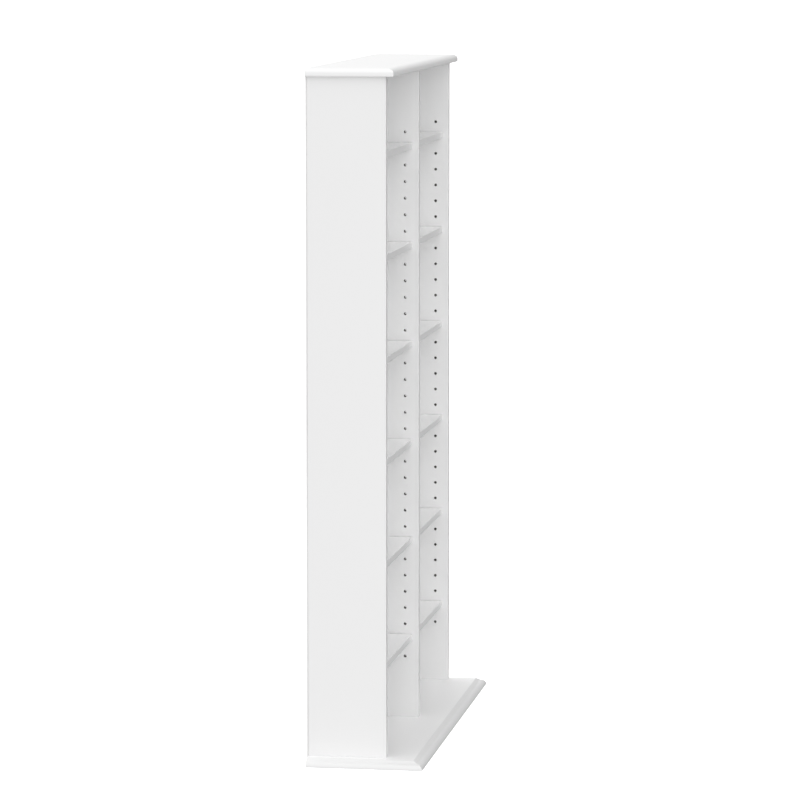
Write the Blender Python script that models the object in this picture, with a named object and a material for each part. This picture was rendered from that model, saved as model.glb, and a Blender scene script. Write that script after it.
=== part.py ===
"""Open storage tower: a base, a top, three uprights, a back and two columns of adjustable shelves.

Frame: metres, +Z up, the open front faces -Y, +X to the right of someone facing the front.
The origin is on the floor, under the centre of the whole object's box.
"""

import math

import bmesh
import bpy
from mathutils import Matrix

MM = 0.001

# Driving dimensions
BOARD = 16.0 * MM
COLUMN_WIDTH = 384.0 * MM
PANEL_DEPTH = 147.0 * MM
PANEL_HEIGHT = 1264.0 * MM
BACK_THICKNESS = 3.0 * MM
GAP = 0.3 * MM

# Overhangs of the two moulded boards beyond the uprights
BASE_FRONT_OVERHANG = 73.0 * MM
BASE_SIDE_OVERHANG = 36.0 * MM
TOP_FRONT_OVERHANG = 15.0 * MM
TOP_SIDE_OVERHANG = 9.0 * MM

# Rows of shelf holes: 33 holes on a 32 mm pitch, one row near each edge of an upright
HOLE_PITCH = 32.0 * MM
HOLE_COUNT = 33
FIRST_HOLE_HEIGHT = 120.0 * MM
FRONT_ROW_SETBACK = 26.5 * MM
ROW_SPACING = 96.0 * MM
HOLE_RADIUS = 2.7 * MM
HOLE_DEPTH = 11.0 * MM
ROUND_SIDES = 8

# Shelves
SHELVES_PER_COLUMN = 6
HOLES_PER_SHELF = 6
LOWEST_SHELF_HOLE = 1
SHELF_THICKNESS = 12.0 * MM
SHELF_SETBACK = 13.0 * MM
SHELF_END_CLEARANCE = 1.0 * MM

# Shelf supports: a round pin with a half-round shoe under the shelf
PIN_RADIUS = HOLE_RADIUS - GAP
PIN_LENGTH = 10.0 * MM
SHOE_RADIUS = 4.0 * MM
SHOE_LENGTH = 9.0 * MM
SHOE_DROP = 0.8 * MM
SHOE_SIDES = 6

# Countersunk screws that hold the base to the uprights
SCREW_RADIUS = 2.2 * MM
SCREW_LENGTH = 48.0 * MM
SCREW_TIP_LENGTH = 4.0 * MM
SCREW_HEAD_RADIUS = 4.2 * MM
SCREW_HEAD_HEIGHT = 2.6 * MM
SCREW_RECESS = 0.8 * MM
SCREW_INSET = 30.0 * MM

# Places worked out from the dimensions above
CARCASS_WIDTH = 2 * COLUMN_WIDTH + 3 * BOARD
TOTAL_DEPTH = BASE_FRONT_OVERHANG + PANEL_DEPTH + GAP + BACK_THICKNESS
PANEL_FRONT = BASE_FRONT_OVERHANG - TOTAL_DEPTH / 2
PANEL_REAR = PANEL_FRONT + PANEL_DEPTH
BACK_REAR = TOTAL_DEPTH / 2
PANEL_BOTTOM = BOARD + GAP
PANEL_TOP = PANEL_BOTTOM + PANEL_HEIGHT
UPRIGHT_PITCH = COLUMN_WIDTH + BOARD
ROWS = {
    "front": PANEL_FRONT + FRONT_ROW_SETBACK,
    "rear": PANEL_FRONT + FRONT_ROW_SETBACK + ROW_SPACING,
}
SCREW_ROWS = {
    "front": PANEL_FRONT + SCREW_INSET,
    "rear": PANEL_REAR - SCREW_INSET,
}


def clear_scene():
    for thing in list(bpy.data.objects):
        bpy.data.objects.remove(thing, do_unlink=True)


def make_material(name, colour, roughness, metallic=0.0):
    material = bpy.data.materials.new(name)
    material.use_nodes = True
    shader = material.node_tree.nodes["Principled BSDF"]
    shader.inputs["Base Color"].default_value = (*colour, 1.0)
    shader.inputs["Roughness"].default_value = roughness
    shader.inputs["Metallic"].default_value = metallic
    return material


def add_object(name, mesh, material, location=(0.0, 0.0, 0.0)):
    if not mesh.materials:
        mesh.materials.append(material)
    thing = bpy.data.objects.new(name, mesh)
    thing.location = location
    bpy.context.scene.collection.objects.link(thing)
    return thing


def mesh_from(bm, name):
    bmesh.ops.recalc_face_normals(bm, faces=bm.faces)
    mesh = bpy.data.meshes.new(name)
    bm.to_mesh(mesh)
    bm.free()
    return mesh


def add_box(bm, low, high):
    size = [b - a for a, b in zip(low, high)]
    centre = [(a + b) / 2 for a, b in zip(low, high)]
    place = Matrix.Translation(centre) @ Matrix.Diagonal((*size, 1.0))
    bmesh.ops.create_cube(bm, size=1.0, matrix=place)


def add_rod(bm, radius, start, end):
    """A closed prism of ROUND_SIDES sides between two points of a line along X."""
    centre = [(a + b) / 2 for a, b in zip(start, end)]
    along_x = Matrix.Rotation(math.pi / 2, 4, "Y") @ Matrix.Rotation(math.pi / ROUND_SIDES, 4, "Z")
    bmesh.ops.create_cone(
        bm,
        cap_ends=True,
        segments=ROUND_SIDES,
        radius1=radius,
        radius2=radius,
        depth=math.dist(start, end),
        matrix=Matrix.Translation(centre) @ along_x,
    )


def boolean(target, cutter_mesh, operation):
    """Apply one exact Boolean to an object and discard its tool."""
    tool = bpy.data.objects.new("tool", cutter_mesh)
    tool.location = target.location
    tool.hide_render = True
    tool.display_type = "WIRE"
    bpy.context.scene.collection.objects.link(tool)
    modifier = target.modifiers.new("boolean", "BOOLEAN")
    modifier.operation = operation
    modifier.solver = "EXACT"
    modifier.object = tool
    bpy.context.view_layer.update()
    result = bpy.data.meshes.new_from_object(
        target.evaluated_get(bpy.context.evaluated_depsgraph_get())
    )
    target.modifiers.remove(modifier)
    target.data = result
    bpy.data.objects.remove(tool, do_unlink=True)


def quarter_turn(sides):
    """The angles of a quarter circle drawn with that many straight sides."""
    return [math.pi / 2 * step / sides for step in range(sides + 1)]


def base_edge_profile():
    """Cove, sloping ledge and thumbnail round, as (distance inwards from the edge, height)."""
    cove, ledge, ledge_fall, round_width = 4.2 * MM, 3.5 * MM, 0.5 * MM, 12.0 * MM
    width = cove + ledge + round_width
    points = []
    for turn in quarter_turn(3):
        points.append((width - cove * (1 - math.cos(turn)), BOARD - cove * math.sin(turn)))
    round_height = BOARD - cove - ledge_fall
    for turn in quarter_turn(5):
        points.append((round_width * (1 - math.sin(turn)), round_height * math.cos(turn)))
    return points


def top_edge_profile():
    """Soft round above and a small radius below, as (distance inwards from the edge, height)."""
    round_width, round_height, lower_radius = 12.0 * MM, 9.0 * MM, 3.0 * MM
    points = []
    for turn in quarter_turn(5):
        inwards = round_width * (1 - math.sin(turn))
        points.append((inwards, BOARD - round_height * (1 - math.cos(turn))))
    for turn in quarter_turn(3):
        points.append((lower_radius * (1 - math.cos(turn)), lower_radius * (1 - math.sin(turn))))
    return points


def moulded_board_mesh(name, half_width, front, rear, bottom, profile):
    """A board whose front and two sides follow a profile; the rear edge is square."""
    bm = bmesh.new()
    rings = []
    for inwards, height in profile:
        side = half_width - inwards
        corners = ((-side, rear), (-side, front + inwards), (side, front + inwards), (side, rear))
        rings.append([bm.verts.new((x, y, bottom + height)) for x, y in corners])
    bm.faces.new(rings[0])
    bm.faces.new(rings[-1])
    for upper, lower in zip(rings, rings[1:]):
        for k in range(4):
            after = (k + 1) % 4
            bm.faces.new((upper[k], upper[after], lower[after], lower[k]))
    return mesh_from(bm, name)


def upright_x(index):
    """Centre of the left, middle or right upright."""
    return (index - 1) * UPRIGHT_PITCH


def add_turned(bm, x, y, profile):
    """A closed turned shape of ROUND_SIDES sides about a vertical line, from (height, radius) pairs."""
    rings = []
    for height, radius in profile:
        place = Matrix.Translation((x, y, height)) @ Matrix.Rotation(math.pi / ROUND_SIDES, 4, "Z")
        ring = bmesh.ops.create_circle(bm, segments=ROUND_SIDES, radius=radius, matrix=place)
        rings.append(ring["verts"])
    bm.faces.new(rings[0])
    bm.faces.new(rings[-1])
    for lower, upper in zip(rings, rings[1:]):
        for k in range(ROUND_SIDES):
            after = (k + 1) % ROUND_SIDES
            bm.faces.new((lower[k], lower[after], upper[after], upper[k]))


def screw_hole_cutter():
    """Countersinks and clearance holes for the base screws, through the base into the uprights."""
    head_bottom = SCREW_RECESS - GAP
    head_top = SCREW_RECESS + SCREW_HEAD_HEIGHT
    profile = (
        (-BOARD, SCREW_HEAD_RADIUS + GAP),
        (head_bottom, SCREW_HEAD_RADIUS + GAP),
        (head_top, SCREW_RADIUS + GAP),
        (SCREW_RECESS + SCREW_LENGTH + GAP, SCREW_RADIUS + GAP),
    )
    bm = bmesh.new()
    for index in range(3):
        for y in SCREW_ROWS.values():
            add_turned(bm, upright_x(index), y, profile)
    return mesh_from(bm, "screw_holes")


def cut_screw_holes(thing):
    boolean(thing, screw_hole_cutter(), "DIFFERENCE")


def make_base(material):
    half_width = CARCASS_WIDTH / 2 + BASE_SIDE_OVERHANG
    front = PANEL_FRONT - BASE_FRONT_OVERHANG
    mesh = moulded_board_mesh("base_board", half_width, front, PANEL_REAR, 0.0, base_edge_profile())
    base = add_object("base_board", mesh, material)
    cut_screw_holes(base)


def make_top(material):
    half_width = CARCASS_WIDTH / 2 + TOP_SIDE_OVERHANG
    front = PANEL_FRONT - TOP_FRONT_OVERHANG
    bottom = PANEL_TOP + GAP
    mesh = moulded_board_mesh("top_board", half_width, front, BACK_REAR, bottom, top_edge_profile())
    add_object("top_board", mesh, material)


def hole_height(number):
    """Height of a shelf hole's centre; hole 0 is the lowest."""
    return PANEL_BOTTOM + FIRST_HOLE_HEIGHT + number * HOLE_PITCH


def shelf_hole_cutter(index):
    """Both rows of holes of one upright: blind in a side panel, right through the divider."""
    bm = bmesh.new()
    centre = upright_x(index)
    spans = {
        0: (centre + BOARD / 2 - HOLE_DEPTH, centre + BOARD),
        1: (centre - BOARD, centre + BOARD),
        2: (centre - BOARD, centre - BOARD / 2 + HOLE_DEPTH),
    }
    start, end = spans[index]
    for y in ROWS.values():
        for number in range(HOLE_COUNT):
            z = hole_height(number)
            add_rod(bm, HOLE_RADIUS, (start, y, z), (end, y, z))
    return mesh_from(bm, "shelf_holes")


def make_uprights(material):
    for index, name in enumerate(("left_side_panel", "centre_divider", "right_side_panel")):
        bm = bmesh.new()
        x = upright_x(index)
        low = (x - BOARD / 2, PANEL_FRONT, PANEL_BOTTOM)
        high = (x + BOARD / 2, PANEL_REAR, PANEL_TOP)
        add_box(bm, low, high)
        upright = add_object(name, mesh_from(bm, name), material)
        boolean(upright, shelf_hole_cutter(index), "DIFFERENCE")
        cut_screw_holes(upright)


def make_back(material):
    bm = bmesh.new()
    half_width = CARCASS_WIDTH / 2
    low = (-half_width, BACK_REAR - BACK_THICKNESS, GAP)
    high = (half_width, BACK_REAR, PANEL_TOP)
    add_box(bm, low, high)
    add_object("back_panel", mesh_from(bm, "back_panel"), material)


def shelf_underside(number):
    """Height of a shelf's underside; shelf 1 is the lowest."""
    hole = LOWEST_SHELF_HOLE + (number - 1) * HOLES_PER_SHELF
    return hole_height(hole) - SHOE_DROP + GAP


def make_shelves(material):
    for side, column in (("left", -1), ("right", 1)):
        bm = bmesh.new()
        half_length = COLUMN_WIDTH / 2 - SHELF_END_CLEARANCE
        depth = PANEL_DEPTH - SHELF_SETBACK - SHELF_END_CLEARANCE
        add_box(bm, (-half_length, 0.0, 0.0), (half_length, depth, SHELF_THICKNESS))
        mesh = mesh_from(bm, f"shelf_{side}")
        x = column * UPRIGHT_PITCH / 2
        for number in range(1, SHELVES_PER_COLUMN + 1):
            place = (x, PANEL_FRONT + SHELF_SETBACK, shelf_underside(number))
            add_object(f"shelf_{side}_{number}", mesh, material, place)


def add_shoe(bm, start, end):
    """The half-round bearing under a shelf, flat on top, lying along X."""
    half = math.acos(SHOE_DROP / SHOE_RADIUS)
    outline = []
    for step in range(SHOE_SIDES + 1):
        turn = -half + 2 * half * step / SHOE_SIDES
        outline.append((SHOE_RADIUS * math.sin(turn), -SHOE_RADIUS * math.cos(turn)))
    near, far = ([bm.verts.new((x, y, z)) for y, z in outline] for x in (start, end))
    bm.faces.new(near)
    bm.faces.new(list(reversed(far)))
    for k in range(len(near)):
        after = (k + 1) % len(near)
        bm.faces.new((near[k], near[after], far[after], far[k]))


def support_mesh(name, pin_span, shoe_spans):
    """A pin along X with a shoe on one or both ends, as one closed piece."""
    bm = bmesh.new()
    add_rod(bm, PIN_RADIUS, (pin_span[0], 0.0, 0.0), (pin_span[1], 0.0, 0.0))
    body = bpy.data.objects.new(name, mesh_from(bm, name))
    bpy.context.scene.collection.objects.link(body)
    for start, end in shoe_spans:
        bm = bmesh.new()
        add_shoe(bm, start, end)
        boolean(body, mesh_from(bm, "shoe"), "UNION")
    mesh = body.data
    bpy.data.objects.remove(body, do_unlink=True)
    return mesh


def make_supports(material):
    """Single supports in the side panels and double-ended ones through the divider."""
    pin_end = 2 * GAP
    shoe_start, shoe_end = GAP, GAP + SHOE_LENGTH
    half = BOARD / 2
    kinds = {
        "support_left": (0, half, (-PIN_LENGTH, pin_end), [(shoe_start, shoe_end)]),
        "support_centre": (
            1,
            0.0,
            (-half - pin_end, half + pin_end),
            [(half + shoe_start, half + shoe_end), (-half - shoe_end, -half - shoe_start)],
        ),
        "support_right": (2, -half, (-pin_end, PIN_LENGTH), [(-shoe_end, -shoe_start)]),
    }
    for kind, (index, offset, pin_span, shoe_spans) in kinds.items():
        mesh = support_mesh(kind, pin_span, shoe_spans)
        for number in range(1, SHELVES_PER_COLUMN + 1):
            z = shelf_underside(number) - GAP + SHOE_DROP
            for row, y in ROWS.items():
                place = (upright_x(index) + offset, y, z)
                add_object(f"{kind}_{number}_{row}", mesh, material, place)


def screw_mesh():
    """A countersunk screw standing on its head, with its axis on Z and the head's face at zero."""
    profile = (
        (0.0, SCREW_HEAD_RADIUS),
        (SCREW_HEAD_HEIGHT, SCREW_RADIUS),
        (SCREW_LENGTH - SCREW_TIP_LENGTH, SCREW_RADIUS),
        (SCREW_LENGTH, SCREW_RADIUS / 3),
    )
    bm = bmesh.new()
    add_turned(bm, 0.0, 0.0, profile)
    return mesh_from(bm, "base_screw")


def make_base_screws(material):
    mesh = screw_mesh()
    for index, side in enumerate(("left", "centre", "right")):
        for row, y in SCREW_ROWS.items():
            place = (upright_x(index), y, SCREW_RECESS)
            add_object(f"base_screw_{side}_{row}", mesh, material, place)


def main():
    clear_scene()
    laminate = make_material("white_laminate", (0.86, 0.86, 0.86), 0.42)
    moulded = make_material("white_moulded_board", (0.88, 0.88, 0.88), 0.38)
    hardboard = make_material("white_faced_hardboard", (0.80, 0.80, 0.80), 0.55)
    nickel = make_material("nickel_steel", (0.62, 0.61, 0.58), 0.30, 1.0)
    zinc = make_material("zinc_plated_steel", (0.66, 0.66, 0.64), 0.38, 1.0)
    make_base(moulded)
    make_top(moulded)
    make_uprights(laminate)
    make_back(hardboard)
    make_shelves(laminate)
    make_supports(nickel)
    make_base_screws(zinc)


main()
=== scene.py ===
"""The looks of an open storage tower: white faced boards, routed edges, drilled uprights.

Every piece is modelled in metres where the frame says its board is, and rides on that board's body.
"""

import math
from contextlib import contextmanager

import bmesh
import bpy
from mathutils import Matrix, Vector


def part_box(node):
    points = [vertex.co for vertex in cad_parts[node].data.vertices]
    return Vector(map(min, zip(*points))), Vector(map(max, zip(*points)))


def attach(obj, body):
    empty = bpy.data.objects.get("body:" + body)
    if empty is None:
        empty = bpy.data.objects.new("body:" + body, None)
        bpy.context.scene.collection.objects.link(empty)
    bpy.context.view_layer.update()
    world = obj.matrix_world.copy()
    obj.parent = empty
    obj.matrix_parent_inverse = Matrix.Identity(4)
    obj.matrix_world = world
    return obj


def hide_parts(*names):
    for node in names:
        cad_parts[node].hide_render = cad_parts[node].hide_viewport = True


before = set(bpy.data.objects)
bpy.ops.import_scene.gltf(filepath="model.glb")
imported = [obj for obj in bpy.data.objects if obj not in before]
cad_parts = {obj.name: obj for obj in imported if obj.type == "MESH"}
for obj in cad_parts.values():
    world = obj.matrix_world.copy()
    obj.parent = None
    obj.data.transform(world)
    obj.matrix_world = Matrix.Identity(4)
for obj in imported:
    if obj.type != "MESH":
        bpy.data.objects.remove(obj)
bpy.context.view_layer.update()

MM = 0.001
CARCASS = "carcass"
SIDES = ("left", "centre", "right")
ROWS = ("front", "rear")
LEVELS = range(1, 7)
COLUMNS = ("left", "right")
UPRIGHTS = ("left_side_panel", "centre_divider", "right_side_panel")
SCREWS = [f"base_screw_{side}_{row}" for side in SIDES for row in ROWS]

# Camera
CAMERA_PLACE = Vector((-7.8334, -1.2313, 1.5679))
CAMERA_AIM = Vector((0.0, -0.0006, 0.6390))
LENS = 184.88

# Light: an even glow, and for each lamp its azimuth from +X towards +Y, its elevation, its sharpness
# and its strength
EVEN_GLOW = 0.60
SOFT_LAMPS = (
    (225.0, 20.0, 3.0, 1.24),
    (0.0, 90.0, 3.0, 0.75),
    (45.0, 5.0, 4.0, 1.5),
    (315.0, 0.0, 1.0, -0.60),
)
FLOOR_GLOW = 1.0

# Stage
FLOOR_SIZE = 400.0
FLOOR_DROP = 0.2 * MM
DOME_RADIUS = 190.0
SIGHT_LIMIT = 1000.0

# Moulded edge of the base: a thumbnail round, then a hollow
ROUND_WIDTH = 12.0 * MM
ROUND_HEIGHT = 11.3 * MM
HOLLOW_START = 9.0 * MM
HOLLOW_END = 19.7 * MM
HOLLOW_STEPS = 12

# Moulded edge of the top: a small radius below, a soft round above
TOP_RADIUS = 3.0 * MM
TOP_ROUND_WIDTH = 12.0 * MM
TOP_ROUND_HEIGHT = 9.0 * MM

# Edges of the boards
BAND = 0.6 * MM
BAND_ARRIS = 0.4 * MM
BOARD_ARRIS = 0.12 * MM
CORNER_EASE = 1.5 * MM
FOOT_EASE = 0.4 * MM
TIGHT = 0.02 * MM
BACK_EASE = 0.3 * MM
ROUND_STEPS = 12

# Rows of shelf holes
HOLE_RADIUS = 2.55 * MM
HOLE_MOUTH = 0.25 * MM
HOLE_OVERRUN = 2.0 * MM
HOLE_DEPTH = 11.0 * MM
HOLE_PITCH = 32.0 * MM
HOLE_COUNT = 33
FIRST_HOLE = 120.0 * MM
FRONT_ROW = 26.5 * MM
ROW_SPACING = 96.0 * MM
HOLE_SIDES = 24

# Shelf supports
PIN_RADIUS = 2.35 * MM
PIN_EASE = 0.4 * MM
COLLAR_RADIUS = 3.4 * MM
COLLAR_SUNK = 1.0 * MM
COLLAR_PROUD = 0.7 * MM
COLLAR_EASE = 0.15 * MM
SHOE_RADIUS = 4.0 * MM
SHOE_DROP = 0.8 * MM
SHOE_LENGTH = 9.0 * MM
SHOE_START = 0.3 * MM
SHOE_EASE = 0.3 * MM

# Base screws, and the holes that are drilled for them
HEAD_HEIGHT = 2.6 * MM
HEAD_EASE = 0.2 * MM
SHANK_RADIUS = 2.1 * MM
SHANK_END = 18.0 * MM
ROOT_RADIUS = 1.5 * MM
THREAD_PITCH = 2.0 * MM
POINT_RADIUS = 0.2 * MM
POINT_LENGTH = 4.0 * MM
THREAD_MARGIN = 6.0 * MM
RECESS_REACH = 2.3 * MM
RECESS_HALF_WIDTH = 0.45 * MM
RECESS_DEPTH = 1.6 * MM
RECESS_TAPER = 0.55
SCREW_CLEARANCE = 0.3 * MM
SHANK_HOLE_RADIUS = 2.5 * MM
DRILL_UNDER_FLOOR = 5.0 * MM

# Nails of the back
NAIL_RADIUS = 2.2 * MM
NAIL_DEPTH = 1.0 * MM
NAIL_RISE = 0.25 * MM
NAIL_RING = 0.5 * MM
NAIL_DISH = 0.12 * MM
NAIL_SPACING = 110.0 * MM
NAIL_MARGIN = 22.0 * MM


# ---------------------------------------------------------------- finishes


class Wire:
    """A shader socket that takes part in plain arithmetic."""

    def __init__(self, bench, socket):
        self.bench = bench
        self.socket = socket

    def maths(self, operation, first, second, clamp=False):
        settings = {"operation": operation, "use_clamp": clamp}
        return self.bench.node("ShaderNodeMath", settings, {0: first, 1: second})

    def __add__(self, other):
        return self.maths("ADD", self, other)

    __radd__ = __add__

    def __sub__(self, other):
        return self.maths("SUBTRACT", self, other)

    def __rsub__(self, other):
        return self.maths("SUBTRACT", other, self)

    def __mul__(self, other):
        return self.maths("MULTIPLY", self, other)

    __rmul__ = __mul__

    def __pow__(self, other):
        return self.maths("POWER", self, other)

    def sine(self):
        return self.maths("SINE", self, 0.0)

    def held(self):
        """The same value kept between 0 and 1."""
        return self.maths("ADD", self, 0.0, clamp=True)


class Bench:
    """One node tree, and the coordinates that its patterns follow."""

    def __init__(self, tree, coordinates):
        self.tree = tree
        self.place = self.node("ShaderNodeTexCoord", output=coordinates)

    def node(self, kind, settings=None, sockets=None, output=0):
        """Any node: its settings are put in place first, then its sockets' values and links."""
        made = self.tree.nodes.new(kind)
        for key, value in (settings or {}).items():
            if key == "stops":
                self.set_stops(made.color_ramp, value)
            else:
                setattr(made, key, value)
        for key, value in (sockets or {}).items():
            if isinstance(value, Wire):
                self.tree.links.new(value.socket, made.inputs[key])
            else:
                made.inputs[key].default_value = value
        return Wire(self, made.outputs[output])

    def set_stops(self, ramp, stops):
        while len(ramp.elements) < len(stops):
            ramp.elements.new(1.0)
        for element, (position, colour) in zip(ramp.elements, stops):
            element.position = position
            element.color = (*colour, 1.0)


class Finish(Bench):
    """One material: its shader and the nodes that feed it."""

    def __init__(self, name, roughness, metallic=0.0, specular=0.5):
        self.material = bpy.data.materials.new(name)
        self.material.use_nodes = True
        super().__init__(self.material.node_tree, "Object")
        self.shader = self.tree.nodes["Principled BSDF"]
        self.shader.inputs["Roughness"].default_value = roughness
        self.shader.inputs["Metallic"].default_value = metallic
        self.shader.inputs["Specular IOR Level"].default_value = specular

    def stretched(self, along):
        """Object coordinates with each axis scaled."""
        if along is None:
            return self.place
        return self.node("ShaderNodeMapping", sockets={"Vector": self.place, "Scale": along})

    def axis(self, letter):
        return self.node("ShaderNodeSeparateXYZ", sockets={"Vector": self.place}, output=letter)

    def noise(self, scale, detail=2.0, roughness=0.5, along=None):
        """Soft noise with features about 1/scale metres apart, from 0 to 1."""
        sockets = {
            "Vector": self.stretched(along),
            "Scale": scale,
            "Detail": detail,
            "Roughness": roughness,
        }
        return self.node("ShaderNodeTexNoise", sockets=sockets)

    def cells(self, scale, output="Distance", along=None):
        sockets = {"Vector": self.stretched(along), "Scale": scale}
        return self.node("ShaderNodeTexVoronoi", sockets=sockets, output=output)

    def mix(self, factor, first, second):
        """A colour from first to second as factor goes from 0 to 1."""
        sockets = {0: factor, 6: first, 7: second}
        return self.node("ShaderNodeMix", {"data_type": "RGBA"}, sockets, 2)

    def ramp(self, factor, *stops):
        return self.node("ShaderNodeValToRGB", {"stops": stops}, {"Fac": factor})

    def feed(self, name, wire):
        self.tree.links.new(wire.socket, self.shader.inputs[name])

    def bump(self, height, distance, strength=1.0):
        sockets = {"Height": height, "Distance": distance, "Strength": strength}
        self.feed("Normal", self.node("ShaderNodeBump", sockets=sockets))


def tone(level, warmth=0.0):
    """A near grey colour; warmth above 0 leans it to yellow."""
    return (level * (1 + warmth), level, level * (1 - warmth), 1.0)


def white_film(name, level, roughness, grain=1.0):
    """White film on board: a fine pearled grain, a cloudy sheen and a trace of handling."""
    film = Finish(name, roughness)
    cloud = film.noise(5.0, 3.0)
    speckle = film.noise(900.0, 2.0, 0.6)
    handling = film.noise(24.0, 4.0, 0.62)
    shade = (cloud * 0.55 + speckle * 0.45).held()
    film.feed("Base Color", film.mix(shade, tone(level * 0.985), tone(level * 1.015)))
    film.feed("Roughness", handling * 0.08 + speckle * 0.04 + (roughness - 0.06))
    film.bump(film.noise(1300.0, 1.0) + film.cells(620.0) * 0.6, 0.00002 * grain, 0.35)
    return film.material


def chip_core(name, dark, light):
    """Sawn and drilled chip board: pressed chips of several tones, with small pits."""
    core = Finish(name, 0.85, specular=0.3)
    lie = (1.0, 1.7, 2.4)
    chips = core.node("ShaderNodeSeparateColor", sockets={0: core.cells(430.0, "Color", lie)})
    pits = core.noise(1500.0, 3.0, 0.7)
    chip_colour = core.ramp(chips, (0.0, dark), (1.0, light))
    core.feed("Base Color", core.mix(pits * 0.5, chip_colour, (*dark, 1.0)))
    core.bump(pits + core.cells(430.0, along=lie), 0.0002, 0.6)
    return core.material


def screen_hardboard(name):
    """The brown rear of thin hardboard, with the fine net of the press screen in it."""
    rear = Finish(name, 0.68, specular=0.35)
    per_metre = 2 * math.pi / 0.0018
    net = (rear.axis("X") * per_metre).sine() * (rear.axis("Z") * per_metre).sine()
    fibre = rear.noise(240.0, 5.0, 0.7, (1.0, 1.0, 0.45))
    blotch = rear.noise(7.0, 3.0)
    shade = (fibre * 0.6 + blotch * 0.4).held()
    rear.feed("Base Color", rear.ramp(shade, (0.25, (0.25, 0.165, 0.10)), (0.75, (0.42, 0.30, 0.19))))
    rear.feed("Roughness", fibre * 0.2 + 0.56)
    rear.bump(net * 0.5 + fibre, 0.00015, 0.7)
    return rear.material


def plated(name, level, warmth, roughness):
    """Plated metal with tumbling marks and slightly cloudy plating."""
    metal = Finish(name, roughness, metallic=1.0)
    cloud = metal.noise(160.0, 3.0)
    marks = metal.noise(2600.0, 2.0, 0.6, (0.25, 1.0, 1.0))
    metal.feed("Base Color", metal.mix(cloud, tone(level * 0.9, warmth), tone(level * 1.06, warmth)))
    metal.feed("Roughness", marks * 0.16 + (roughness - 0.06))
    metal.bump(marks, 0.00001, 0.5)
    return metal.material


def studio_sweep(name):
    """A pale sweep with light behind it, as under a product table."""
    sweep = Finish(name, 0.9, specular=0.1)
    cloud = sweep.noise(0.8, 2.0)
    sweep.feed("Base Color", sweep.mix(cloud, tone(0.88), tone(0.92)))
    sweep.shader.inputs["Emission Color"].default_value = (1.0, 1.0, 1.0, 1.0)
    sweep.shader.inputs["Emission Strength"].default_value = FLOOR_GLOW
    return sweep.material


PANEL_WHITE = white_film("white_board_film", 0.86, 0.42)
# The shelves' copy of the white film is lighter than the panels': painted light on shelf tops that lie
# in shade
SHELF_LIT_WHITE = white_film("white_shelf_film_painted_light", 0.93, 0.40)
BAND_WHITE = white_film("white_edge_band", 0.85, 0.36, 0.5)
TOP_WHITE = white_film("white_top_film", 0.88, 0.38, 0.6)
# Two copies of one white film for the base: a lighter one is painted light on its flat faces, a darker
# one is painted shade on its routed moulding
BASE_LIT_WHITE = white_film("white_base_film_painted_light", 0.92, 0.40, 0.6)
ROUTED_SHADED_WHITE = white_film("white_routed_edge_painted_shade", 0.80, 0.36, 0.5)
BACK_WHITE = white_film("white_back_lacquer", 0.84, 0.5)
RAW_CORE = chip_core("pressed_chip_core", (0.34, 0.28, 0.21), (0.66, 0.58, 0.47))
# A darker, greyer copy of the chip core, painted shade for the walls of the shelf holes
HOLE_SHADED_CORE = chip_core("hole_core_painted_shade", (0.24, 0.23, 0.22), (0.36, 0.35, 0.33))
BACK_BROWN = screen_hardboard("screen_hardboard")
NICKEL = plated("nickel_plate", 0.66, 0.03, 0.3)
ZINC = plated("zinc_plate", 0.62, -0.01, 0.4)


# ---------------------------------------------------------------- modelling by hand


def alone(piece=None):
    """Nothing selected, or only this piece, which is then active."""
    bpy.ops.object.select_all(action="DESELECT")
    if piece is not None:
        piece.select_set(True)
        bpy.context.view_layer.objects.active = piece


@contextmanager
def shaping(piece, kind="FACE"):
    """Edit mode on one piece, with nothing of it selected at the start."""
    alone(piece)
    bpy.ops.object.mode_set(mode="EDIT")
    bpy.ops.mesh.select_mode(type=kind)
    bpy.ops.mesh.select_all(action="DESELECT")
    yield
    bpy.ops.object.mode_set(mode="OBJECT")


def pick(kind, test):
    """In edit mode, select only the faces, edges or verts for which test(part) is true."""
    bpy.ops.mesh.select_all(action="DESELECT")
    mesh = bpy.context.edit_object.data
    bm = bmesh.from_edit_mesh(mesh)
    for part in getattr(bm, kind):
        if test(part):
            part.select_set(True)
    bm.select_flush_mode()
    bmesh.update_edit_mesh(mesh)


def settle(piece, name):
    """Put a piece's place, turn and size into its mesh, so that its object sits at the origin."""
    alone(piece)
    bpy.ops.object.transform_apply(location=True, rotation=True, scale=True)
    piece.name = name
    piece.data.name = name
    return piece


def face_outwards(piece):
    with shaping(piece):
        bpy.ops.mesh.select_all(action="SELECT")
        bpy.ops.mesh.normals_make_consistent(inside=False)


def block(name, low, high):
    """A rectangular blank between two corners."""
    alone()
    bpy.ops.mesh.primitive_cube_add(size=1.0, location=(Vector(low) + Vector(high)) / 2)
    blank = bpy.context.object
    blank.scale = Vector(high) - Vector(low)
    return settle(blank, name)


def rod(name, radius, start, end, sides):
    """A round blank between two points of a line along one axis."""
    start, end = Vector(start), Vector(end)
    along = end - start
    alone()
    bpy.ops.mesh.primitive_cylinder_add(
        vertices=sides,
        radius=radius,
        depth=along.length,
        location=(start + end) / 2,
        rotation=along.to_track_quat("Z", "Y").to_euler(),
    )
    return settle(bpy.context.object, name)


def modify(piece, kind, **settings):
    """Add one modifier and apply it."""
    alone(piece)
    modifier = piece.modifiers.new(kind.lower(), kind)
    for key, value in settings.items():
        setattr(modifier, key, value)
    bpy.ops.object.modifier_apply(modifier=modifier.name)


def ease(piece, width, segments=2):
    """Round every sharp edge a little."""
    modify(piece, "BEVEL", width=width, segments=segments, limit_method="ANGLE")


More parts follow.
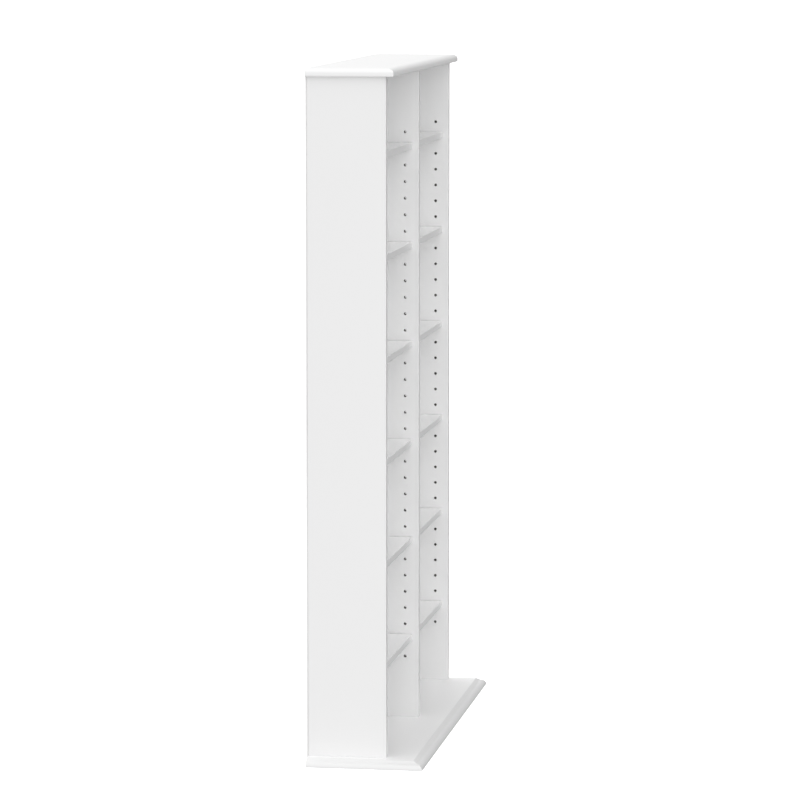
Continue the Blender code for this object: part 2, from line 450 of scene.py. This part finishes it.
def cut(piece, tool, operation="DIFFERENCE"):
    """One exact Boolean. The cut faces keep the tool's finish, and the tool is used up."""
    modify(
        piece, "BOOLEAN", operation=operation, solver="EXACT", object=tool, material_mode="TRANSFER"
    )
    bpy.data.objects.remove(tool, do_unlink=True)


def another(piece, name, offset):
    """A copy with a mesh of its own, moved by offset."""
    copy = piece.copy()
    copy.data = piece.data.copy()
    bpy.context.scene.collection.objects.link(copy)
    copy.location = offset
    return settle(copy, name)


def joined(pieces, name):
    alone(pieces[0])
    for piece in pieces:
        piece.select_set(True)
    bpy.ops.object.join()
    return settle(bpy.context.object, name)


def coat(piece, *finishes):
    piece.data.materials.clear()
    for finish in finishes:
        piece.data.materials.append(finish)
    return piece


def first_finish_where(piece, test):
    """The first finish on the faces for which test(face) is true, the second on the others."""
    for face in piece.data.polygons:
        face.material_index = 0 if test(face) else 1


def smooth(piece, degrees=32.0):
    """Smooth shading that leaves every large flat face flat."""
    alone(piece)
    bpy.ops.object.shade_smooth_by_angle(angle=math.radians(degrees))
    modify(piece, "WEIGHTED_NORMAL", keep_sharp=True)
    return piece


def fit(piece, body, slot, *nodes):
    """The piece rides on a body and stands for these nodes; the slot it is given is not used."""
    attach(piece, body)
    if nodes:
        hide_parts(*nodes)
    return piece


def raise_by(height, across=1.0, deep=1.0, centre=(0, 0, 0)):
    """In edit mode, extrude what is selected upwards and resize its new top about a centre."""
    bpy.ops.mesh.extrude_region_move(TRANSFORM_OT_translate={"value": (0, 0, height)})
    bpy.ops.transform.resize(value=(across, deep, 1.0), center_override=centre)


def turned(name, x, y, bottom, profile, sides):
    """A solid turned about a vertical line, from (radius, height) pairs going up from bottom."""
    radius = profile[0][0]
    alone()
    bpy.ops.mesh.primitive_circle_add(
        vertices=sides, radius=radius, fill_type="NGON", location=(x, y, bottom + profile[0][1])
    )
    piece = settle(bpy.context.object, name)
    with shaping(piece):
        bpy.ops.mesh.select_all(action="SELECT")
        for (radius, height), (new_radius, new_height) in zip(profile, profile[1:]):
            grow = new_radius / radius
            raise_by(new_height - height, grow, grow, (x, y, bottom + new_height))
    face_outwards(piece)
    return piece


def quarter_turn(steps):
    return [math.pi / 2 * step / steps for step in range(steps + 1)]


# ---------------------------------------------------------------- base and top


def base_profile(thickness):
    """A thumbnail round that runs into a soft hollow, as (distance inwards, height) from below."""
    points = [(FOOT_EASE, 0.0), (0.0, FOOT_EASE)]
    for turn in quarter_turn(ROUND_STEPS)[1:]:
        inwards = ROUND_WIDTH * (1 - math.cos(turn))
        if inwards > HOLLOW_START:
            break
        points.append((inwards, FOOT_EASE + (ROUND_HEIGHT - FOOT_EASE) * math.sin(turn)))
    start_inwards, start_height = points[-1]
    for step in range(1, HOLLOW_STEPS + 1):
        part = step / HOLLOW_STEPS
        rise = part * part * (3 - 2 * part)
        inwards = start_inwards + (HOLLOW_END - start_inwards) * part
        points.append((inwards, start_height + (thickness - start_height) * rise))
    return points


def top_profile(thickness):
    """A small radius, a short flat and a soft round, as (distance inwards, height) from below."""
    points = []
    for turn in quarter_turn(5):
        points.append((TOP_RADIUS * (1 - math.sin(turn)), TOP_RADIUS * (1 - math.cos(turn))))
    for turn in quarter_turn(ROUND_STEPS):
        inwards = TOP_ROUND_WIDTH * (1 - math.cos(turn))
        points.append((inwards, thickness - TOP_ROUND_HEIGHT * (1 - math.sin(turn))))
    return points


def moulded_board(node, profile, flat_finish, edge_finish):
    """A board raised from its underside ring by ring, so that only the rear edge stays square."""
    low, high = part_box(node)
    points = profile(high.z - low.z)
    middle = (low.x + high.x) / 2
    half, depth = (high.x - low.x) / 2, high.y - low.y
    inwards, height = points[0]
    alone()
    bpy.ops.mesh.primitive_plane_add(
        size=1.0, location=(middle, (low.y + inwards + high.y) / 2, low.z + height)
    )
    board = bpy.context.object
    board.scale = (2 * (half - inwards), depth - inwards, 1.0)
    settle(board, node + "_moulded")
    with shaping(board, "VERT"):
        pick("verts", lambda vert: vert.co.y < (low.y + high.y) / 2)
        bpy.ops.mesh.bevel(offset=CORNER_EASE, segments=4, affect="VERTICES")
    with shaping(board):
        bpy.ops.mesh.select_all(action="SELECT")
        for new_inwards, new_height in points[1:]:
            raise_by(
                new_height - height,
                (half - new_inwards) / (half - inwards),
                (depth - new_inwards) / (depth - inwards),
                (middle, high.y, low.z + new_height),
            )
            inwards, height = new_inwards, new_height
    face_outwards(board)
    coat(board, flat_finish, edge_finish)
    first_finish_where(board, lambda face: abs(face.normal.z) > 0.999)
    return board


def drill_screw_holes(board):
    """Countersunk clearance holes for the base screws, upwards from below the floor."""
    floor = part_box("base_board")[0].z
    for node in SCREWS:
        low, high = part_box(node)
        head_radius = (high.x - low.x) / 2 + SCREW_CLEARANCE
        mouth_radius = head_radius + SCREW_CLEARANCE
        head = low.z - floor
        profile = (
            (mouth_radius, -DRILL_UNDER_FLOOR),
            (mouth_radius, 0.0),
            (head_radius, SCREW_CLEARANCE),
            (head_radius, head),
            (SHANK_HOLE_RADIUS, head + HEAD_HEIGHT),
            (SHANK_HOLE_RADIUS, high.z - floor + SCREW_CLEARANCE),
        )
        x, y = (low.x + high.x) / 2, (low.y + high.y) / 2
        cut(board, coat(turned("drill", x, y, floor, profile, 24), RAW_CORE))


def make_base():
    # The flat faces take the lighter copy of the white film and the moulding the darker one: painted
    # light and painted shade
    base = moulded_board("base_board", base_profile, BASE_LIT_WHITE, ROUTED_SHADED_WHITE)
    drill_screw_holes(base)
    smooth(base)
    return fit(base, CARCASS, "moulded_board", "base_board")


def make_top():
    top = smooth(moulded_board("top_board", top_profile, TOP_WHITE, TOP_WHITE))
    return fit(top, CARCASS, "moulded_board", "top_board")


# ---------------------------------------------------------------- uprights and shelves


def edge_band(name, low, high):
    """A thin strip glued on a board's front edge, with its two front arrises scraped round."""
    strip = block(name, low, (high.x, low.y + BAND, high.z))
    with shaping(strip, "EDGE"):
        pick("edges", lambda edge: all(vert.co.y < low.y + BAND / 2 for vert in edge.verts))
        bpy.ops.mesh.bevel(offset=BAND_ARRIS, segments=3)
    return smooth(coat(strip, BAND_WHITE))


def faced_board(name, low, high, faced, film):
    """A board cut to size behind its edge band: white film on two faces, raw core on the rest."""
    board = block(name, (low.x, low.y + BAND, low.z), high)
    ease(board, BOARD_ARRIS, 1)
    coat(board, film, RAW_CORE)
    first_finish_where(board, lambda face: abs(face.normal[faced]) > 0.6)
    return board


def shelf_hole_drill(start, end, mouths, y, z):
    """One drill, flared where it meets a face, repeated up both rows of an upright."""
    drill = rod("drill", HOLE_RADIUS, (start, y, z), (end, y, z), HOLE_SIDES)
    for mouth, outwards in mouths:
        grow = 1 + HOLE_MOUTH / HOLE_RADIUS
        with shaping(drill):
            pick("faces", lambda face: face.normal.x * outwards > 0.9)
            for step, flare in ((HOLE_MOUTH, grow), (HOLE_OVERRUN, 1.0)):
                bpy.ops.mesh.extrude_region_move(
                    TRANSFORM_OT_translate={"value": (outwards * step, 0, 0)}
                )
                bpy.ops.transform.resize(value=(1, flare, flare), center_override=(mouth, y, z))
    spacing = {"use_relative_offset": False, "use_constant_offset": True}
    modify(
        drill, "ARRAY", count=HOLE_COUNT, constant_offset_displace=(0, 0, HOLE_PITCH), **spacing
    )
    modify(drill, "ARRAY", count=2, constant_offset_displace=(0, ROW_SPACING, 0), **spacing)
    # The hole walls take the darker copy of the core, which is painted shade
    return coat(drill, HOLE_SHADED_CORE)


def make_upright(index):
    """A drilled upright with its edge band, from base to top: blind holes, or through the divider."""
    node = UPRIGHTS[index]
    low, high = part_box(node)
    foot = Vector((low.x, low.y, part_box("base_board")[1].z + TIGHT))
    head = Vector((high.x, high.y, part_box("top_board")[0].z - TIGHT))
    board = faced_board(node + "_board", foot, head, 0, PANEL_WHITE)
    left_mouth, right_mouth = (low.x + HOLE_MOUTH, -1), (high.x - HOLE_MOUTH, 1)
    spans = (
        (high.x - HOLE_DEPTH, right_mouth[0], [right_mouth]),
        (left_mouth[0], right_mouth[0], [left_mouth, right_mouth]),
        (left_mouth[0], low.x + HOLE_DEPTH, [left_mouth]),
    )
    y, z = low.y + FRONT_ROW, low.z + FIRST_HOLE
    cut(board, shelf_hole_drill(*spans[index], y, z))
    drill_screw_holes(board)
    smooth(board)
    fit(board, CARCASS, "upright_laminate", node)
    band = edge_band(node + "_edge_band", foot, head)
    fit(band, CARCASS, "upright_laminate")


def make_shelves():
    """One shelf and its band, copied to every level of both columns."""
    low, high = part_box("shelf_left_1")
    board = smooth(faced_board("shelf_pattern", low, high, 2, SHELF_LIT_WHITE))
    band = edge_band("shelf_band_pattern", low, high)
    for column in COLUMNS:
        for level in LEVELS:
            node = f"shelf_{column}_{level}"
            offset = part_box(node)[0] - low
            shelf = another(board, node + "_board", offset)
            fit(shelf, node, "shelf_laminate", node)
            strip = another(band, node + "_edge_band", offset)
            fit(strip, node, "shelf_laminate")
    for pattern in (board, band):
        bpy.data.objects.remove(pattern, do_unlink=True)


# ---------------------------------------------------------------- fittings


def support(name, node, ends):
    """A nickel shelf support: a pin, and a collar and a half round shoe for each (face, way)."""
    low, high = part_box(node)
    y, z = (low.y + high.y) / 2, low.z + SHOE_RADIUS
    reach = [face for face, way in ends]
    if len(ends) == 1:
        reach.append(low.x if ends[0][1] > 0 else high.x)
    piece = rod(name, PIN_RADIUS, (min(reach), y, z), (max(reach), y, z), 24)
    ease(piece, PIN_EASE)
    for face, way in ends:
        start = face + way * SHOE_START
        shoe = rod("shoe", SHOE_RADIUS, (start, y, z), (start + way * SHOE_LENGTH, y, z), 36)
        with shaping(shoe):
            bpy.ops.mesh.select_all(action="SELECT")
            bpy.ops.mesh.bisect(
                plane_co=(0, 0, z - SHOE_DROP), plane_no=(0, 0, 1), use_fill=True, clear_outer=True
            )
        ease(shoe, SHOE_EASE)
        sunk, proud = face - way * COLLAR_SUNK, face + way * COLLAR_PROUD
        collar = rod("collar", COLLAR_RADIUS, (sunk, y, z), (proud, y, z), 36)
        ease(collar, COLLAR_EASE, 1)
        cut(piece, collar, "UNION")
        cut(piece, shoe, "UNION")
    return smooth(coat(piece, NICKEL))


def make_supports():
    """Single supports in the side panels and double-ended ones through the divider."""
    left, middle, right = (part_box(node) for node in UPRIGHTS)
    ends = {
        "left": [(left[1].x, 1)],
        "centre": [(middle[0].x, -1), (middle[1].x, 1)],
        "right": [(right[0].x, -1)],
    }
    for side in SIDES:
        first = f"support_{side}_1_front"
        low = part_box(first)[0]
        pattern = support("support_pattern", first, ends[side])
        for level in LEVELS:
            for row in ROWS:
                node = f"support_{side}_{level}_{row}"
                pin = another(pattern, node + "_nickel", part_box(node)[0] - low)
                fit(pin, CARCASS, "support_steel", node)
        bpy.data.objects.remove(pattern, do_unlink=True)


def base_screw(name, low, high):
    """A countersunk cross-recess screw, standing on its head, with a ringed thread."""
    x, y = (low.x + high.x) / 2, (low.y + high.y) / 2
    head_radius = (high.x - low.x) / 2
    length = high.z - low.z
    profile = [
        (head_radius - HEAD_EASE, 0.0),
        (head_radius, HEAD_EASE),
        (SHANK_RADIUS, HEAD_HEIGHT),
        (SHANK_RADIUS, SHANK_END),
    ]
    height = SHANK_END
    while height < length - THREAD_MARGIN:
        profile.append((ROOT_RADIUS, height + 0.45 * THREAD_PITCH))
        profile.append((SHANK_RADIUS, height + 0.9 * THREAD_PITCH))
        height += THREAD_PITCH
        profile.append((SHANK_RADIUS, height))
    profile += [(ROOT_RADIUS, length - POINT_LENGTH), (POINT_RADIUS, length)]
    screw = turned(name, x, y, low.z, profile, 20)
    arms = ((RECESS_REACH, RECESS_HALF_WIDTH), (RECESS_HALF_WIDTH, RECESS_REACH))
    for across, along in arms:
        start = (x - across, y - along, low.z - MM)
        tool = block("recess", start, (x + across, y + along, low.z + RECESS_DEPTH))
        with shaping(tool):
            pick("faces", lambda face: face.normal.z > 0.9)
            bpy.ops.transform.resize(
                value=(RECESS_TAPER, RECESS_TAPER, 1), center_override=(x, y, low.z)
            )
        cut(screw, tool)
    return smooth(coat(screw, ZINC), 40.0)


def make_screws():
    """One screw, copied to the place of each."""
    low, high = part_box(SCREWS[0])
    pattern = base_screw("screw_pattern", low, high)
    for node in SCREWS:
        screw = another(pattern, node + "_zinc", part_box(node)[0] - low)
        fit(screw, CARCASS, "screw_steel", node)
    bpy.data.objects.remove(pattern, do_unlink=True)


# ---------------------------------------------------------------- back


def nail_places(sheet_top):
    """Where the back is nailed, as (x, z): up the middle of each upright."""
    for node in UPRIGHTS:
        low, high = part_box(node)
        bottom, top = low.z + NAIL_MARGIN, sheet_top - NAIL_MARGIN
        count = round((top - bottom) / NAIL_SPACING)
        for step in range(count + 1):
            yield (low.x + high.x) / 2, bottom + (top - bottom) * step / count


def make_back():
    """A thin sheet, white inside and brown outside, with the heads of its nails."""
    low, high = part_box("back_panel")
    sheet = block("back_panel_sheet", low, high)
    ease(sheet, BACK_EASE)
    coat(sheet, BACK_WHITE, BACK_BROWN)
    first_finish_where(sheet, lambda face: face.normal.y <= 0.9)
    fit(smooth(sheet), CARCASS, "back_hardboard", "back_panel")
    nails = []
    for x, z in nail_places(high.z):
        start, end = (x, high.y - NAIL_DEPTH, z), (x, high.y + NAIL_RISE, z)
        nail = rod("nail", NAIL_RADIUS, start, end, 14)
        with shaping(nail):
            pick("faces", lambda face: face.normal.y > 0.9)
            bpy.ops.mesh.inset(thickness=NAIL_RING, depth=0.0)
            bpy.ops.mesh.inset(thickness=NAIL_RING, depth=NAIL_DISH)
        nails.append(nail)
    heads = smooth(coat(joined(nails, "back_nails"), ZINC))
    fit(heads, CARCASS, "screw_steel")


# ---------------------------------------------------------------- studio


def show_to_camera_only(stage):
    """The stage is seen by the camera only: it lights, shades and mirrors nothing."""
    stage.visible_diffuse = False
    stage.visible_glossy = False
    stage.visible_shadow = False


def make_floor():
    """A pale floor that runs out to a dome of the same colour."""
    sweep = studio_sweep("studio_sweep")
    alone()
    bpy.ops.mesh.primitive_grid_add(
        x_subdivisions=20, y_subdivisions=20, size=FLOOR_SIZE, location=(0, 0, -FLOOR_DROP)
    )
    floor = bpy.context.object
    floor.name = "studio_floor"
    alone()
    bpy.ops.mesh.primitive_uv_sphere_add(segments=48, ring_count=24, radius=DOME_RADIUS)
    dome = bpy.context.object
    dome.name = "studio_dome"
    for stage in (floor, dome):
        show_to_camera_only(coat(stage, sweep))


def make_light():
    """An even glow with a few wide soft lamps. The last one is a dark card, which takes light away."""
    world = bpy.data.worlds.new("studio_sky")
    world.use_nodes = True
    bpy.context.scene.world = world
    sky = Bench(world.node_tree, "Generated")
    glow = 0.0
    for azimuth, elevation, sharpness, strength in SOFT_LAMPS:
        around, up = math.radians(azimuth), math.radians(elevation)
        aim = (math.cos(up) * math.cos(around), math.cos(up) * math.sin(around), math.sin(up))
        product = {"operation": "DOT_PRODUCT"}
        facing = sky.node("ShaderNodeVectorMath", product, {0: sky.place, 1: aim}, 1)
        glow = facing.held() ** sharpness * strength + glow
    backdrop = world.node_tree.nodes["Background"]
    backdrop.inputs["Color"].default_value = (1.0, 1.0, 1.0, 1.0)
    world.node_tree.links.new((glow + EVEN_GLOW).socket, backdrop.inputs["Strength"])


def make_camera():
    data = bpy.data.cameras.new("camera")
    data.lens = LENS
    data.clip_end = SIGHT_LIMIT
    camera = bpy.data.objects.new("camera", data)
    bpy.context.scene.collection.objects.link(camera)
    camera.location = CAMERA_PLACE
    camera.rotation_euler = (CAMERA_AIM - CAMERA_PLACE).to_track_quat("-Z", "Y").to_euler()
    bpy.context.scene.camera = camera


make_camera()
make_light()
make_floor()
make_base()
make_top()
for index in range(3):
    make_upright(index)
make_shelves()
make_supports()
make_screws()
make_back()

scene = bpy.context.scene
scene.view_settings.view_transform = "Standard"
